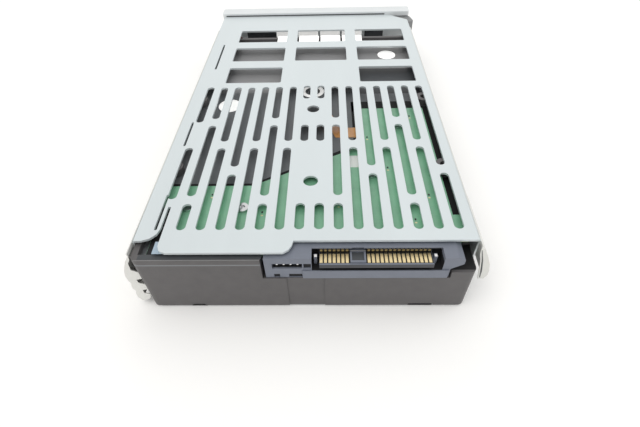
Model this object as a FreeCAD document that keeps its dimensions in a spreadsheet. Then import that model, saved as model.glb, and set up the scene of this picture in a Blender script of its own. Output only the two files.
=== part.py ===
"""Hard disk drive in its hot-swap carrier, lying cover down with the circuit-board side up.

Frame: +Z up, floor at Z = 0, origin at the middle of the bottom of the overall box.
-Y is the connector end, +Y is the carrier's front bezel, +X is to the right seen from the connector end.
Heights are measured from the floor; Y places are measured from the drive's connector face and moved
into the frame by each part's placement, and X places from the centre line of the drive or of the carrier.
"""
import FreeCAD
import Part
import os
import re

import Sketcher
from FreeCAD import Vector

SIZES = {
    # whole object
    "overall_length": 184.0, "drive_offset": -0.4, "fit_gap": 0.05, "body_gap": 0.3,
    # base casting
    "drive_width": 101.6, "drive_length": 147.0, "datum_height": 26.1, "casting_bottom": 1.0,
    "rim_height": 25.1, "corner_radius": 2.0, "rim_width": 1.9, "near_rim": 2.35, "deck_underside": 19.5,
    "deck_height": 22.9, "board_floor": 21.7, "channel_floor": 20.4, "cavity_near": 16.0,
    "cavity_half": 44.5, "cavity_far": 64.5, "bulge_left": 20.0, "bulge_right": 47.6, "bulge_near": 40.0,
    "disk_bay_radius": 49.0, "recess_left": -12.9, "recess_depth": 13.0, "recess_floor": 16.2,
    "corner_left": 43.3, "corner_floor": 19.0, "bottom_hole_x": 47.625, "bottom_hole_near": 41.28,
    "bottom_hole_far": 85.73, "side_hole_near": 28.5, "side_hole_far": 130.1, "side_hole_height": 19.75,
    "thread_radius": 1.4, "thread_depth": 4.0, "boss_radius": 3.1, "boss_height": 25.9,
    "notch_left_x": -37.8, "notch_left_width": 4.3, "notch_right_x": 32.6, "notch_right_width": 8.1,
    "notch_height": 0.9, "panel_half": 5.8, "panel_depth": 0.25,
    # cover, gasket and their screws
    "cover_inset": 0.5, "cover_corner": 2.5, "gasket_width": 0.8, "gasket_offset": 0.6,
    "gasket_height": 0.8, "screw_radius": 0.95, "screw_length": 5.0, "screw_head_radius": 1.7,
    "screw_head_height": 0.6, "screw_head_level": 0.2, "corner_screw_x": 45.5, "corner_screw_near": 7.0,
    "corner_screw_far": 141.5, "middle_screw_x": 47.9, "middle_screw_y": 33.0, "label_depth": 0.15,
    "label_thickness": 0.1, "label_half": 40.0, "label_near": 34.0, "label_length": 84.0,
    # spindle and disks
    "spindle_y": 96.0, "shaft_radius": 2.5, "shaft_low": 8.0, "shaft_high": 22.9,
    "sleeve_radius": 4.2, "motor_base_radius": 14.0, "motor_tube_radius": 5.2, "motor_tube_bore": 4.5,
    "motor_tube_low": 12.0, "hub_radius": 12.48, "hub_low": 8.59, "hub_cap": 2.0, "hub_flange_low": 17.6,
    "hub_flange_high": 18.8, "hub_flange_radius": 16.0, "hub_wall_bore": 10.6, "magnet_bore": 9.5,
    "magnet_low": 10.8, "magnet_high": 18.4, "stator_radius": 9.0, "stator_yoke": 6.6,
    "stator_low": 13.0, "stator_high": 16.5, "tooth_count": 9, "tooth_width": 1.5, "coil_width": 2.3,
    "coil_overhang": 0.8, "coil_inner": 6.8, "coil_length": 1.5, "disk_radius": 47.5, "disk_bore": 12.5,
    "disk_thickness": 1.27, "disk_pitch": 3.87, "disk_first": 16.33, "clamp_bore": 6.0,
    "clamp_low": 7.1, "clamp_high": 8.59, "clamp_radius": 16.0, "clamp_screw_circle": 9.2,
    "clamp_screw_count": 6,
    # head actuator
    "pivot_x": 16.0, "pivot_y": 42.0, "pivot_post_radius": 3.0, "pivot_sleeve_radius": 5.0,
    "block_radius": 7.5, "block_low": 6.6, "block_high": 19.0, "park_angle": 161.4, "coil_angle": 341.4,
    "arm_length": 34.0, "arm_root": 7.0, "arm_tip": 4.0, "arm_thickness": 1.0, "suspension_start": 31.0,
    "suspension_end": 52.0, "suspension_width": 3.0, "suspension_thickness": 0.2, "head_radius": 50.0,
    "slider_length": 1.2, "slider_width": 1.0, "slider_height": 0.3, "coil_low": 12.7, "coil_high": 14.7,
    "coil_start": 13.5, "coil_end": 25.0, "coil_half_angle": 16.0, "coil_band": 2.6, "yoke_start": 10.5,
    "yoke_end": 25.8, "yoke_from": 281.0, "yoke_to": 371.0, "yoke_thickness": 2.0, "upper_yoke_low": 17.3,
    "lower_yoke_low": 8.2, "vcm_magnet_height": 1.6, "vcm_magnet_from": 289.0, "vcm_magnet_to": 359.0,
    "yoke_post_radius": 1.4, "yoke_post_circle": 21.0, "yoke_post_first": 284.0, "yoke_post_last": 370.0,
    # small inner pieces
    "latch_x": 36.0, "latch_y": 53.0, "latch_low": 12.6, "latch_high": 14.8, "latch_pin_radius": 0.9,
    "latch_eye": 2.2, "latch_arm": 8.0, "latch_width": 1.8, "latch_angle": -56.0, "ramp_circle": 54.9,
    "ramp_length": 3.4, "ramp_width": 5.0, "ramp_offset": -1.6, "ramp_low": 5.0, "finger_length": 4.4,
    "finger_height": 0.9,
    "stop_radius": 1.2, "filter_x": 42.2, "filter_near": 57.0, "filter_width": 4.4, "filter_length": 6.5,
    "desiccant_x": -42.5, "desiccant_y": 19.0, "desiccant_width": 12.0, "desiccant_length": 11.0,
    "desiccant_height": 12.0, "breather_x": -30.0, "breather_y": 30.0, "breather_radius": 4.5,
    "breather_height": 1.4, "header_x": -14.0, "header_y": 20.5, "header_width": 13.0,
    "header_length": 5.0, "header_low": 17.6, "flex_thickness": 0.2, "flex_width": 7.0, "flex_low": 9.3,
    # circuit board and connector
    "board_low": 23.1, "board_high": 24.3, "board_left": -46.8, "board_near": 3.0, "board_waist": 32.5,
    "board_slope_left": -18.8, "board_slope_right": 18.3, "board_slope_top": 53.3, "board_far": 79.3,
    "board_right": 46.2, "board_shoulder": 18.3, "board_corner": 48.8, "board_corner_near": 7.2,
    "board_notch_left": -12.6, "board_notch_right": 46.6, "board_notch_depth": 7.6, "board_margin": 0.6,
    "chip_height": 1.0, "board_screw_head": 2.6, "board_screw_head_height": 0.9, "board_screw_length": 3.0,
    "housing_left": -11.9, "housing_right": 46.2, "housing_low": 16.25, "housing_top": 25.3,
    "housing_face": 0.4, "housing_upper_face": 4.4, "housing_rear": 12.6, "housing_upper_rear": 7.4,
    "lower_wall_top": 19.9, "lower_wall_left": -0.7, "lower_wall_right": 42.3, "pocket_left": 2.0,
    "pocket_right": 40.3, "pocket_rear": 6.4, "tongue_left": 4.3, "tongue_right": 37.5,
    "tongue_low": 21.4, "tongue_high": 22.9, "contact_pitch": 1.27, "contact_width": 0.84,
    "contact_height": 0.15, "contact_near": 0.7, "contact_length": 3.6, "contact_tail": 1.2,
    "signal_first": 4.805, "signal_count": 7, "power_first": 18.775, "power_count": 15,
    "key_left": 13.3, "key_right": 17.9, "key_high": 23.55, "header_pin_first": -8.27,
    "header_pin_pitch": 2.03, "header_pin_count": 4, "header_pin_height": 21.9,
    "header_pin_width": 0.5, "header_window_height": 1.9, "header_pocket": 5.0,
    # carrier plate
    "plate_half": 51.75, "plate_chamfer": 0.6, "plate_right": 50.95, "plate_left_near": -51.2,
    "plate_low": 26.1,
    "plate_thickness": 0.8, "plate_near": 5.9, "plate_far": 170.6,
    "tab_left": -43.35, "tab_right": -4.1, "tab_near": 1.5, "tab_radius": 2.6, "strip_right": -44.3,
    "strip_top": 20.0,
    "strip_near": 6.1, "strip_radius": 7.5, "corner_cut_x": 41.0, "corner_cut_y": 163.0,
    "slot_width": 3.0, "slot_pitch": 6.0, "slot_origin": 3.72, "window_width": 24.7,
    "window_height": 13.8, "window_pitch": 30.0, "window_origin": 3.4, "window_near": 96.9,
    "window_row_pitch": 20.4, "slit_width": 0.9, "plate_hole_radius": 2.5, "plate_hole_x": 0.7,
    "plate_hole_near": 31.9, "plate_hole_far": 75.5,
    # carrier sides
    "rail_thickness": 0.5, "rail_low": 9.5, "rail_near": 6.2, "rail_far_left": 170.8,
    "rail_far_right": 157.0, "leaf_count": 6, "leaf_gap": 3.0, "leaf_thickness": 0.3, "leaf_top": 25.3,
    "leaf_bottom": 10.0, "leaf_access_radius": 3.2, "leaf_bulge": 56.2, "leaf_near_left": 1.6,
    "leaf_near_right": 4.0, "leaf_far": 154.0,
    "rail_screw_radius": 1.35, "rail_screw_head": 2.9, "rail_screw_head_height": 0.7,
    "rail_screw_length": 4.0,
    "rail_window_near": 60.0, "rail_window_far": 80.0, "rail_hole_radius": 4.0, "spare_hole_y": 70.1,
    # bezel, lever and button
    "bezel_half": 52.6, "bezel_near": 170.9, "bezel_far": 178.2, "bezel_height": 28.4,
    "bezel_wall": 1.6, "vent_pitch": 12.7, "vent_width": 11.5, "vent_height": 11.5, "vent_low": 8.5,
    "vent_first": -23.0, "vent_count": 4, "hinge_x": 45.0, "hinge_y": 174.6, "hinge_pin_radius": 1.5,
    "lever_low": 5.0, "lever_high": 23.4, "lever_eye": 3.0, "lever_near": 179.0, "lever_far": 184.0,
    "lever_left": -38.0, "lever_tail": 1.0, "hook_x": 54.3, "hook_y": 165.4, "hook_low": 19.6,
    "hook_high": 25.6,
    "grille_left": -38.0, "grille_right": 38.0, "grille_near": 176.9, "grille_thickness": 0.6,
    "grille_pitch": 5.7, "grille_gap": 1.2, "grille_rows": 4, "grille_count": 13, "button_left": -47.0,
    "button_width": 6.0, "button_low": 9.0, "button_height": 10.0,
    "button_travel": 2.0, "light_pipe_radius": 1.3, "spring_radius": 2.2, "spring_wire": 0.3,
}

document = FreeCAD.newDocument("drive_in_carrier")
sheet = document.addObject("Spreadsheet::Sheet", "Size")
for row, (alias, value) in enumerate(SIZES.items(), start=1):
    sheet.set(f"A{row}", alias)
    sheet.set(f"B{row}", str(value))
    sheet.setAlias(f"B{row}", alias)
document.recompute()

ALIAS = re.compile(r"\b(" + "|".join(sorted(SIZES, key=len, reverse=True)) + r")\b")
parts = []
places = {}
used_names = {}


def bound(text):
    """An expression that reads every alias in text from the sheet."""
    return ALIAS.sub(r"Size.\1", str(text))


def number(text):
    """The value of an expression now."""
    value = sheet.evalExpression(bound(text))
    return float(getattr(value, "Value", value))


def link(thing, prop, text):
    """Binds a property of an object to an expression on the sheet."""
    thing.setExpression(prop, bound(text))


def new_name(name):
    """A name that no other object of the document has."""
    used_names[name] = used_names.get(name, 0) + 1
    return name if used_names[name] == 1 else f"{name}_{used_names[name]}"


def add(kind, name):
    """A new document object."""
    return document.addObject(kind, new_name(name))


def move(thing, x, y, z):
    """Binds an object's place to three expressions."""
    places[thing.Name] = (x, y, z)
    for axis, text in zip("xyz", (x, y, z)):
        link(thing, f"Placement.Base.{axis}", text)


def block(name, x, y, z, width, length, height):
    """A box from its lowest corner and its three sizes."""
    made = add("Part::Box", name)
    move(made, x, y, z)
    for prop, text in zip(("Length", "Width", "Height"), (width, length, height)):
        link(made, prop, text)
    return made


def span(name, x, y, z):
    """A box from three pairs of limits."""
    sizes = [f"({high})-({low})" for low, high in (x, y, z)]
    return block(name, x[0], y[0], z[0], *sizes)


ALONG = {"x": FreeCAD.Rotation(Vector(0, 1, 0), 90), "y": FreeCAD.Rotation(Vector(1, 0, 0), -90),
         "z": FreeCAD.Rotation()}


def rod(name, x, y, z, radius, length, along="z"):
    """A cylinder that starts at a point and runs along +X, +Y or +Z."""
    made = add("Part::Cylinder", name)
    made.Placement = FreeCAD.Placement(Vector(), ALONG[along])
    move(made, x, y, z)
    link(made, "Radius", radius)
    link(made, "Height", length)
    return made


def joined(name, *pieces):
    """One solid from pieces that touch."""
    made = add("Part::MultiFuse", name)
    made.Shapes = list(pieces)
    made.Refine = True
    return made


def less(name, base, *tools):
    """The base without the tools."""
    made = add("Part::Cut", name)
    made.Base = base
    made.Tool = tools[0] if len(tools) == 1 else joined(name + "_tools", *tools)
    made.Refine = True
    return made


def shared(name, first, second):
    """What two solids have in common."""
    made = add("Part::Common", name)
    made.Base = first
    made.Tool = second
    return made


def together(name, pieces):
    """Separate solids that share a node."""
    made = add("Part::Compound", name)
    made.Links = list(pieces)
    return made


def part(made, label, frame, at=("0", "0", "0"), turn="0"):
    """Names a sub-part and places it: frame is drive or carrier, at and turn are its own place."""
    made.Label = label
    base = places.get(made.Name, at)
    offset = "drive_offset" if frame == "drive" else "0"
    move(made, f"({base[0]})+{offset}", f"({base[1]})-overall_length/2", base[2])
    if turn != "0":
        made.Placement = FreeCAD.Placement(made.Placement.Base, FreeCAD.Rotation(Vector(0, 0, 1), 1))
        link(made, "Placement.Rotation.Angle", turn)
    parts.append(made)
    return made


def on_circle(centre, radius, angle):
    """The X and Y expressions of a point on a circle."""
    return f"({centre[0]})+({radius})*cos({angle})", f"({centre[1]})+({radius})*sin({angle})"


def turned(made, turn):
    """Turns a primitive about the vertical through its own place."""
    made.Placement = FreeCAD.Placement(made.Placement.Base, FreeCAD.Rotation(Vector(0, 0, 1), 1))
    link(made, "Placement.Rotation.Angle", turn)
    return made


def ring(name, x, y, z, bore, radius, height):
    """A washer shape."""
    outer = rod(name + "_rim", x, y, z, radius, height)
    return less(name, outer, rod(name + "_bore", x, y, f"({z})-1", bore, f"({height})+2"))


def sector(name, centre, z, bore, radius, height, start, end):
    """A washer shape cut to the angles from start to end."""
    outer = rod(name + "_fan", centre[0], centre[1], z, radius, height)
    link(outer, "Angle", f"({end})-({start})")
    turned(outer, start)
    return less(name, outer, rod(name + "_bore", centre[0], centre[1], f"({z})-1", bore, f"({height})+2"))


def rounded_block(name, x, y, z, radius):
    """A box from three pairs of limits with rounded upright edges."""
    inner_x = (f"({x[0]})+{radius}", f"({x[1]})-{radius}")
    inner_y = (f"({y[0]})+{radius}", f"({y[1]})-{radius}")
    height = f"({z[1]})-({z[0]})"
    pieces = [span(name + "_wide", x, inner_y, z), span(name + "_long", inner_x, y, z)]
    for corner_x in inner_x:
        for corner_y in inner_y:
            pieces.append(rod(name + "_corner", corner_x, corner_y, z[0], radius, height))
    return joined(name, *pieces)


def origin_plane(body, role):
    """One of a body's own planes."""
    return next(item for item in body.Origin.OriginFeatures if item.Role == role)


def outline(body, name, points, role="XY_Plane", level="0"):
    """A closed sketch through points whose coordinates are bound to the sheet."""
    sketch = body.newObject("Sketcher::SketchObject", new_name(name))
    sketch.AttachmentSupport = [(origin_plane(body, role), "")]
    sketch.MapMode = "FlatFace"
    link(sketch, "AttachmentOffset.Base.z", level)
    values = [Vector(number(x), number(y), 0) for x, y in points]
    count = len(values)
    for index, start in enumerate(values):
        sketch.addGeometry(Part.LineSegment(start, values[(index + 1) % count]), False)
    for index in range(count):
        sketch.addConstraint(Sketcher.Constraint("Coincident", index, 2, (index + 1) % count, 1))
    for index, point in enumerate(points):
        for axis, text, value in zip("XY", point, values[index]):
            made = sketch.addConstraint(Sketcher.Constraint(f"Distance{axis}", -1, 1, index, 1, value))
            link(sketch, f"Constraints[{made}]", text)
    return sketch


def padded(name, points, height, role="XY_Plane", level="0"):
    """A body that is one outline padded to a height."""
    body = add("PartDesign::Body", name)
    sketch = outline(body, name + "_outline", points, role, level)
    pad = body.newObject("PartDesign::Pad", new_name(name + "_pad"))
    pad.Profile = sketch
    link(pad, "Length", height)
    body.Tip = pad
    return body


def revolved(name, points):
    """A body that is one half section turned about Z; points are radius and height."""
    body = add("PartDesign::Body", name)
    sketch = outline(body, name + "_section", points, "XZ_Plane")
    turn = body.newObject("PartDesign::Revolution", new_name(name + "_turn"))
    turn.Profile = sketch
    turn.ReferenceAxis = (sketch, ["V_Axis"])
    turn.Angle = 360
    body.Tip = turn
    return body


# ---------------------------------------------------------------- base casting
SPINDLE = ("0", "spindle_y")
PIVOT = ("pivot_x", "pivot_y")
COVER_SCREWS = [("-corner_screw_x", "corner_screw_near"), ("corner_screw_x", "corner_screw_near"),
                ("0", "corner_screw_near"), ("-middle_screw_x", "middle_screw_y"),
                ("middle_screw_x", "middle_screw_y"), ("-corner_screw_x", "corner_screw_far"),
                ("corner_screw_x", "corner_screw_far")]
BOARD_SCREWS = [("-38.6", "22.1"), ("-20.7", "21.5"), ("22.1", "37.5"), ("34.1", "66.6")]
DRIVE_HALF = "drive_width/2"


def cavity(name, grow, low, high):
    """The space for disks and actuator, grown sideways."""
    round_bay = rod(name + "_bay", "0", "spindle_y", low, f"disk_bay_radius+{grow}", f"({high})-({low})")
    front = span(name + "_front", (f"-cavity_half-{grow}", f"cavity_half+{grow}"),
                 (f"cavity_near-{grow}", "cavity_far"), (low, high))
    side = span(name + "_side", (f"bulge_left-{grow}", f"bulge_right+{grow}"),
                (f"bulge_near-{grow}", "spindle_y"), (low, high))
    return joined(name, round_bay, front, side)


def board_outline(margin):
    """The circuit board's outline grown by a margin."""
    left, right = f"board_left-{margin}", f"board_right+{margin}"
    near, far = f"board_near-{margin}", f"board_far+{margin}"
    corner = f"board_corner+{margin}"
    return [(left, near), (f"board_notch_left+{margin}", near),
            (f"board_notch_left+{margin}", f"board_notch_depth-{margin}"),
            (f"board_notch_right-{margin}", f"board_notch_depth-{margin}"),
            (f"board_notch_right-{margin}", f"board_corner_near-{margin}"),
            (corner, f"board_corner_near-{margin}"), (corner, f"board_shoulder+{margin}"),
            (right, f"board_shoulder+{margin}"), (right, "bottom_hole_near-3.7"),
            ("bottom_hole_x-3.8", "bottom_hole_near-3.7"), ("bottom_hole_x-3.8", "bottom_hole_near+3.7"),
            (right, "bottom_hole_near+3.7"), (right, far), (f"board_slope_right-{margin}", far),
            (f"board_slope_right-{margin}", f"board_slope_top+{margin}/2"),
            (f"board_slope_left-{margin}/4", f"board_waist+{margin}"), (left, f"board_waist+{margin}")]


def gasket(name, low, high):
    """The gasket's ring round the cavity."""
    outer = cavity(name + "_outer", "(gasket_offset+gasket_width)", low, high)
    return less(name, outer, cavity(name + "_inner", "gasket_offset", f"({low})-1", f"({high})+1"))


shell = rounded_block("casting_block", (f"-{DRIVE_HALF}", DRIVE_HALF), ("0", "drive_length"),
                      ("casting_bottom", "rim_height"), "corner_radius")
hollows = [
    cavity("disk_bay", "0", "casting_bottom-1", "deck_underside"),
    gasket("gasket_groove", "casting_bottom-0.5", "casting_bottom+gasket_height"),
    span("deck_hollow", (f"rim_width-{DRIVE_HALF}", f"{DRIVE_HALF}-rim_width"),
         ("near_rim", "drive_length-rim_width"), ("deck_height", "rim_height+1")),
    padded("board_hollow", board_outline("board_margin"), "2", level="board_floor"),
    span("connector_recess", ("recess_left", "corner_left"), ("-1", "recess_depth"),
         ("recess_floor", "rim_height+1")),
    span("corner_recess", ("corner_left-1", f"{DRIVE_HALF}+1"), ("-1", "recess_depth"),
         ("corner_floor", "rim_height+1")),
    span("left_notch", ("notch_left_x", "notch_left_x+notch_left_width"), ("-1", "1.2"),
         ("0", "casting_bottom+notch_height")),
    span("right_notch", ("notch_right_x", "notch_right_x+notch_right_width"), ("-1", "1.2"),
         ("0", "casting_bottom+notch_height")),
    span("face_panel", ("-panel_half", "panel_half"), ("-1", "panel_depth"), ("0", "recess_floor")),
    rod("motor_opening", *SPINDLE, "deck_underside-1", "motor_base_radius", "10"),
    span("header_opening", ("header_x", "header_x+header_width"), ("header_y", "header_y+header_length"),
         ("deck_underside-1", "deck_height+1")),
]
for hole_x, hole_y in COVER_SCREWS:
    hollows.append(rod("cover_screw_hole", hole_x, hole_y, "0", "screw_radius", "screw_length+1.2"))
for hole_x, hole_y in BOARD_SCREWS:
    hollows.append(rod("board_screw_hole", hole_x, hole_y, "board_high-board_screw_length",
                       "screw_radius", "5"))
for side in ("-", ""):
    for hole_y in ("side_hole_near", "spare_hole_y", "side_hole_far"):
        start = f"-{DRIVE_HALF}-1" if side else f"{DRIVE_HALF}-thread_depth"
        if hole_y == "spare_hole_y":
            start = f"-{DRIVE_HALF}-1" if side else f"{DRIVE_HALF}-2.6"
        length = "3.6" if hole_y == "spare_hole_y" else "thread_depth+1"
        hollows.append(rod("side_hole", start, hole_y, "side_hole_height", "thread_radius", length, "x"))
hollowed = less("casting_hollowed", shell, *hollows)
bosses = []
threads = []
for side in ("-", ""):
    for hole_y in ("bottom_hole_near", "bottom_hole_far"):
        bosses.append(rod("bottom_boss", f"{side}bottom_hole_x", hole_y, "deck_underside+0.5", "boss_radius",
                          "boss_height-deck_underside-0.5"))
        threads.append(rod("bottom_hole", f"{side}bottom_hole_x", hole_y, "boss_height-thread_depth",
                           "thread_radius", "thread_depth+1"))
for hole_x, hole_y in BOARD_SCREWS:
    bosses.append(rod("board_post", hole_x, hole_y, "board_floor-0.5", "board_screw_head",
                      "board_low-board_floor+0.5"))
    threads.append(rod("board_thread", hole_x, hole_y, "board_high-board_screw_length", "screw_radius", "4"))
part(less("casting", joined("casting_bossed", hollowed, *bosses), *threads), "base_casting", "drive")

# ---------------------------------------------------------------- cover side
lid = rounded_block("lid", (f"cover_inset-{DRIVE_HALF}", f"{DRIVE_HALF}-cover_inset"),
                    ("cover_inset", "drive_length-cover_inset"), ("0", "casting_bottom"), "cover_corner")
label_x = ("-label_half", "label_half")
label_y = ("label_near", "label_near+label_length")
lid_cuts = [span("label_recess", label_x, label_y, ("-1", "label_depth"))]
for hole_x, hole_y in COVER_SCREWS:
    lid_cuts.append(rod("lid_hole", hole_x, hole_y, "-1", "screw_radius", "3"))
    lid_cuts.append(rod("lid_sink", hole_x, hole_y, "-1", "screw_head_radius",
                        "1+screw_head_level+screw_head_height"))
part(less("lid_cut", lid, *lid_cuts), "top_cover", "drive")
part(span("cover_label_sheet", label_x, label_y, ("label_depth-label_thickness", "label_depth")),
     "cover_label", "drive")
part(gasket("gasket_ring", "casting_bottom", "casting_bottom+gasket_height"), "cover_gasket", "drive")


def screw(name, x, y, head_level, head_radius, head_height, length, up=True):
    """A screw with a star recess: up means its shaft points up from the head."""
    head = rod(name + "_head", x, y, head_level, head_radius, head_height)
    shaft_low = f"({head_level})+{head_height}" if up else f"({head_level})-{length}"
    shaft = rod(name + "_shaft", x, y, shaft_low, "screw_radius", length)
    socket_low = f"({head_level})-1" if up else f"({head_level})+{head_height}/2"
    socket = rod(name + "_socket", x, y, socket_low, f"{head_radius}*0.45", f"1+{head_height}/2")
    return less(name, joined(name + "_blank", head, shaft), socket)


part(together("cover_screw_set", [
    screw("cover_screw", x, y, "screw_head_level", "screw_head_radius", "screw_head_height", "screw_length")
    for x, y in COVER_SCREWS]), "cover_screws", "drive")
part(rod("breather", "breather_x", "breather_y", "casting_bottom", "breather_radius", "breather_height"),
     "breather_filter", "drive")

# ---------------------------------------------------------------- spindle and disks
motor_base = rod("motor_plate", *SPINDLE, "deck_underside", "motor_base_radius",
                 "deck_height-deck_underside")
motor_tube = rod("motor_tube", *SPINDLE, "motor_tube_low", "motor_tube_radius",
                 "deck_underside-motor_tube_low+1")
tube_bore = rod("tube_bore", *SPINDLE, "0", "motor_tube_bore", "deck_underside")
shaft_seat = rod("shaft_seat", *SPINDLE, "0", "shaft_radius", "40")
part(less("motor_base_cut", joined("motor_base_blank", motor_base, motor_tube), tube_bore, shaft_seat),
     "motor_base", "drive")
part(rod("fixed_shaft", *SPINDLE, "shaft_low", "shaft_radius", "shaft_high-shaft_low"),
     "spindle_shaft", "drive")

core = ring("stator_yoke_ring", *SPINDLE, "stator_low", "motor_tube_radius", "stator_yoke",
            "stator_high-stator_low")
teeth, windings = [], []
for index in range(int(number("tooth_count"))):
    angle = f"{index}*360/tooth_count"
    tooth = block("stator_tooth", *on_circle(SPINDLE, "stator_yoke-0.3", angle), "stator_low",
                  "stator_radius-stator_yoke+0.3", "tooth_width", "stator_high-stator_low")
    teeth.append(turned(tooth, angle))
    wound = block("winding", *on_circle(SPINDLE, "coil_inner", angle), "stator_low-coil_overhang",
                  "coil_length", "coil_width", "stator_high-stator_low+2*coil_overhang")
    slot_tool = block("winding_slot", *on_circle(SPINDLE, "coil_inner-1", angle), "stator_low",
                      "coil_length+2", "tooth_width", "stator_high-stator_low")
    windings.append(less("coil_turns", turned(wound, angle), turned(slot_tool, angle)))
part(joined("stator", core, *teeth), "stator_core", "drive")
part(together("winding_set", windings), "stator_windings", "drive")

hub_section = [("shaft_radius+fit_gap", "hub_low"), ("hub_radius", "hub_low"),
               ("hub_radius", "hub_flange_low"), ("hub_flange_radius", "hub_flange_low"),
               ("hub_flange_radius", "hub_flange_high"), ("hub_wall_bore", "hub_flange_high"),
               ("hub_wall_bore", "hub_low+hub_cap"), ("sleeve_radius", "hub_low+hub_cap"),
               ("sleeve_radius", "hub_flange_low+0.8"), ("shaft_radius+fit_gap", "hub_flange_low+0.8")]
hub = revolved("hub_body", hub_section)
hub_holes = [rod("hub_thread", *on_circle(("0", "0"), "clamp_screw_circle", f"{index}*360/clamp_screw_count"),
                 "hub_low-1", "screw_radius", "hub_cap+2") for index in range(6)]
part(less("hub", hub, *hub_holes), "spindle_hub", "drive", at=("0", "spindle_y", "0"))
part(ring("rotor_ring", *SPINDLE, "magnet_low", "magnet_bore", "hub_wall_bore", "magnet_high-magnet_low"),
     "rotor_magnet", "drive")
for index, place in enumerate(("upper", "middle", "lower")):
    disk_low = f"disk_first-{index}*disk_pitch"
    disk_edge = "0.15"
    section = [("disk_bore", "0"), (f"disk_radius-{disk_edge}", "0"), ("disk_radius", disk_edge),
               ("disk_radius", f"disk_thickness-{disk_edge}"),
               (f"disk_radius-{disk_edge}", "disk_thickness"), ("disk_bore", "disk_thickness")]
    part(revolved(f"disk_{place}_body", section), f"disk_{place}", "drive", at=("0", "spindle_y", disk_low))
spacers = [ring("spacer_ring", *SPINDLE, f"disk_first-{index}*disk_pitch+disk_thickness", "disk_bore",
                "hub_flange_radius", "disk_pitch-disk_thickness") for index in (1, 2)]
part(together("spacer_set", spacers), "disk_spacers", "drive")
clamp = ring("clamp_ring", *SPINDLE, "clamp_low", "clamp_bore", "clamp_radius", "clamp_high-clamp_low")
clamp_places = [on_circle(SPINDLE, "clamp_screw_circle", f"{index}*360/clamp_screw_count")
                for index in range(int(number("clamp_screw_count")))]
clamp_holes = [rod("clamp_hole", x, y, "clamp_low-1", "screw_radius", "5") for x, y in clamp_places]
part(less("clamp", clamp, *clamp_holes), "disk_clamp", "drive")
part(together("clamp_screw_set", [
    screw("clamp_screw", x, y, "clamp_low-screw_head_height", "screw_head_radius", "screw_head_height",
          "clamp_high-clamp_low+hub_cap-0.2") for x, y in clamp_places]), "clamp_screws", "drive")

# ---------------------------------------------------------------- head actuator (arms along +X, then turned)
post = rod("pivot_shaft", *PIVOT, "block_low-0.8", "pivot_post_radius",
           "deck_underside-block_low+0.8")
part(post, "pivot_post", "drive")
HERE = ("0", "0")
AT_PIVOT = ("pivot_x", "pivot_y", "0")
part(ring("sleeve_ring", *HERE, "block_low", "pivot_post_radius+fit_gap", "pivot_sleeve_radius",
          "block_high-block_low"), "pivot_sleeve", "drive", at=AT_PIVOT, turn="park_angle")
ARM_LEVELS = ["7.04", "10.66", "14.53", "18.3"]
ARM_THICKNESS = ["0.7", "1.0", "1.0", "0.7"]
arms = []
for level, thickness in zip(ARM_LEVELS, ARM_THICKNESS):
    arm = padded("arm", [("0", "-arm_root"), ("arm_length", "-arm_tip/2"), ("arm_length", "arm_tip/2"),
                         ("0", "arm_root")], thickness, level=level)
    window = padded("arm_window", [("10", "-3"), ("24", "-1.4"), ("24", "1.4"), ("10", "3")],
                    f"{thickness}+1", level=f"{level}-0.5")
    arms.append(less("windowed_arm", arm, window))
block_body = rod("block_barrel", *HERE, "block_low", "block_radius", "block_high-block_low")
coil_seat = padded("coil_seat", [("-coil_start*cos(coil_half_angle)", "coil_start*sin(coil_half_angle)"),
                                 ("0", "block_radius"), ("0", "-block_radius"),
                                 ("-coil_start*cos(coil_half_angle)", "-coil_start*sin(coil_half_angle)")],
                   "coil_high-coil_low", level="coil_low")
coil_keepout = rod("coil_keepout", *HERE, "0", "coil_start", "30")
seat = shared("coil_seat_trimmed", coil_seat, coil_keepout)
sleeve_bore = rod("sleeve_bore", *HERE, "0", "pivot_sleeve_radius", "30")
part(less("actuator", joined("actuator_blank", block_body, seat, *arms), sleeve_bore), "actuator_block",
     "drive", at=AT_PIVOT, turn="park_angle")
coil = sector("coil_fan", HERE, "coil_low", "coil_start", "coil_end", "coil_high-coil_low",
              "180-coil_half_angle", "180+coil_half_angle")
coil_window = sector("coil_window", HERE, "coil_low-1", "coil_start+coil_band", "coil_end-coil_band",
                     "coil_high-coil_low+2", "180-coil_half_angle*0.6", "180+coil_half_angle*0.6")
part(less("coil", coil, coil_window), "voice_coil", "drive", at=AT_PIVOT, turn="park_angle")
SUSPENSION_LEVELS = [("7.74", "7.89"), ("10.51", "10.16"), ("11.66", "11.81"), ("14.38", "14.03"),
                     ("15.53", "15.68"), ("18.15", "17.9")]
springs, sliders = [], []
for index, (level, slider_level) in enumerate(SUSPENSION_LEVELS):
    springs.append(padded("suspension", [
        ("suspension_start", "-suspension_width/2"), ("head_radius+1", "-0.6"), ("suspension_end", "-0.3"),
        ("suspension_end", "0.3"), ("head_radius+1", "0.6"), ("suspension_start", "suspension_width/2")],
        "0.15", level=level))
    sliders.append(block("slider", "head_radius-slider_length/2", "-slider_width/2", slider_level,
                         "slider_length", "slider_width", "0.25" if index == 5 else "0.35"))
part(together("suspension_set", springs), "suspensions", "drive", at=AT_PIVOT, turn="park_angle")
part(together("slider_set", sliders), "sliders", "drive", at=AT_PIVOT, turn="park_angle")

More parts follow.
